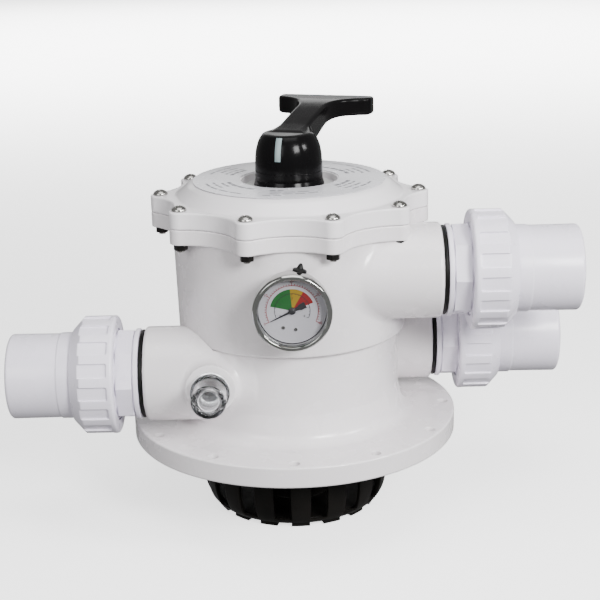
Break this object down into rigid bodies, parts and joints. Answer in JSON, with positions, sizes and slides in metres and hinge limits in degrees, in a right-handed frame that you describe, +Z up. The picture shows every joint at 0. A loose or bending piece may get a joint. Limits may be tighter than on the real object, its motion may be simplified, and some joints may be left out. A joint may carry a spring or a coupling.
{
  "type": "multiport valve",
  "caption": "Top-mount pool filter selector valve with a press-and-turn handle, lobed screwed lid, pressure gauge, sight glass, pipe unions and a slotted diffuser basket.",
  "frame": {"origin": "on the valve's vertical axis, level with the feet of the diffuser basket", "axes": "+Z up along the stem, +X towards the pump port, -Y towards the pressure gauge"},
  "size_m": [0.478, 0.284, 0.346],
  "materials": {
    "white_abs": "warm white moulded plastic, glossy",
    "white_pvc": "cool white moulded pipe plastic, satin gloss",
    "black_handle": "deep black moulded plastic, high gloss",
    "black_basket": "black moulded plastic, semi-matt",
    "rubber": "black rubber",
    "stainless": "stainless steel",
    "nut_steel": "darkened steel",
    "chrome": "polished stainless steel",
    "brass": "turned brass",
    "clear_lens": "clear plastic",
    "label": "pale grey printed label",
    "dial": "white printed dial with green, yellow and red zones",
    "pointer": "black paint",
    "grey_plastic": "grey engineering plastic",
    "stripe": "pale grey printed stripe"
  },
  "bodies": {
    "housing": {"lower_body": "white_abs", "upper_body": "white_abs", "lid": "white_abs", "lid_oring": "rubber", "star_gasket": "rubber", "stem_oring": "rubber", "sight_glass_oring": "rubber", "gauge_fill_plug": "rubber", "lid_label": "label", "lid_screw_01": "stainless", "lid_screw_02": "stainless", "lid_screw_03": "stainless", "lid_screw_04": "stainless", "lid_screw_05": "stainless", "lid_screw_06": "stainless", "lid_screw_07": "stainless", "lid_screw_08": "stainless", "lid_screw_09": "stainless", "lid_screw_10": "stainless", "lid_nut_01": "nut_steel", "lid_nut_02": "nut_steel", "lid_nut_03": "nut_steel", "lid_nut_04": "nut_steel", "lid_nut_05": "nut_steel", "lid_nut_06": "nut_steel", "lid_nut_07": "nut_steel", "lid_nut_08": "nut_steel", "lid_nut_09": "nut_steel", "lid_nut_10": "nut_steel", "gauge_case": "chrome", "gauge_bezel": "chrome", "gauge_lens": "clear_lens", "sight_glass": "clear_lens", "gauge_dial": "dial", "gauge_connector": "brass", "waste_port_oring": "rubber", "waste_face_seal": "rubber", "waste_union_adapter": "white_pvc", "waste_union_tailpiece": "white_pvc", "pump_port_oring": "rubber", "pump_face_seal": "rubber", "pump_union_adapter": "white_pvc", "pump_union_tailpiece": "white_pvc", "return_port_oring": "rubber", "return_face_seal": "rubber", "return_union_adapter": "white_pvc", "return_union_tailpiece": "white_pvc", "diffuser": "black_basket"},
    "selector": {"handle_washer": "grey_plastic", "spring_washer": "grey_plastic", "spring": "stainless"},
    "rotor": {"rotor": "grey_plastic", "stem": "stainless", "handle_pin": "stainless"},
    "handle": {"handle": "black_handle", "handle_indicator": "stripe"},
    "gauge_needle": {"gauge_pointer": "pointer"},
    "waste_nut": {"waste_union_nut": "white_pvc"},
    "pump_nut": {"pump_union_nut": "white_pvc"},
    "return_nut": {"return_union_nut": "white_pvc"}
  },
  "joints": [
    {"name": "selector_turn", "type": "hinge", "parent": "housing", "child": "selector", "pos_m": [0, 0, 0.286], "axis": [0, 0, 1], "continuous": true},
    {"name": "rotor_lift", "type": "slide", "parent": "selector", "child": "rotor", "axis": [0, 0, 1], "range_m": [0, 0.0053], "stiffness_N_per_m": 500, "springref_m": -0.01, "deforming": ["spring"]},
    {"name": "handle_press", "type": "hinge", "parent": "rotor", "child": "handle", "pos_m": [0, 0, 0.308], "axis": [-0.9483, 0.3173, 0], "range_deg": [0, 20]},
    {"name": "needle_swing", "type": "hinge", "parent": "housing", "child": "gauge_needle", "pos_m": [0.0008, -0.121, 0.2096], "axis": [0, 1, 0], "range_deg": [0, 250], "stiffness_Nm_per_rad": 0.001},
    {"name": "waste_nut_turn", "type": "hinge", "parent": "housing", "child": "waste_nut", "pos_m": [-0.165, -0.046, 0.134], "axis": [1, 0, 0], "continuous": true},
    {"name": "pump_nut_turn", "type": "hinge", "parent": "housing", "child": "pump_nut", "pos_m": [0.165, -0.046, 0.22], "axis": [1, 0, 0], "continuous": true},
    {"name": "return_nut_turn", "type": "hinge", "parent": "housing", "child": "return_nut", "pos_m": [0.165, 0.046, 0.134], "axis": [1, 0, 0], "continuous": true}
  ],
  "couplings": [
    {"joint": "rotor_lift", "follows": "handle_press", "m_per_rad": 0.015}
  ]
}
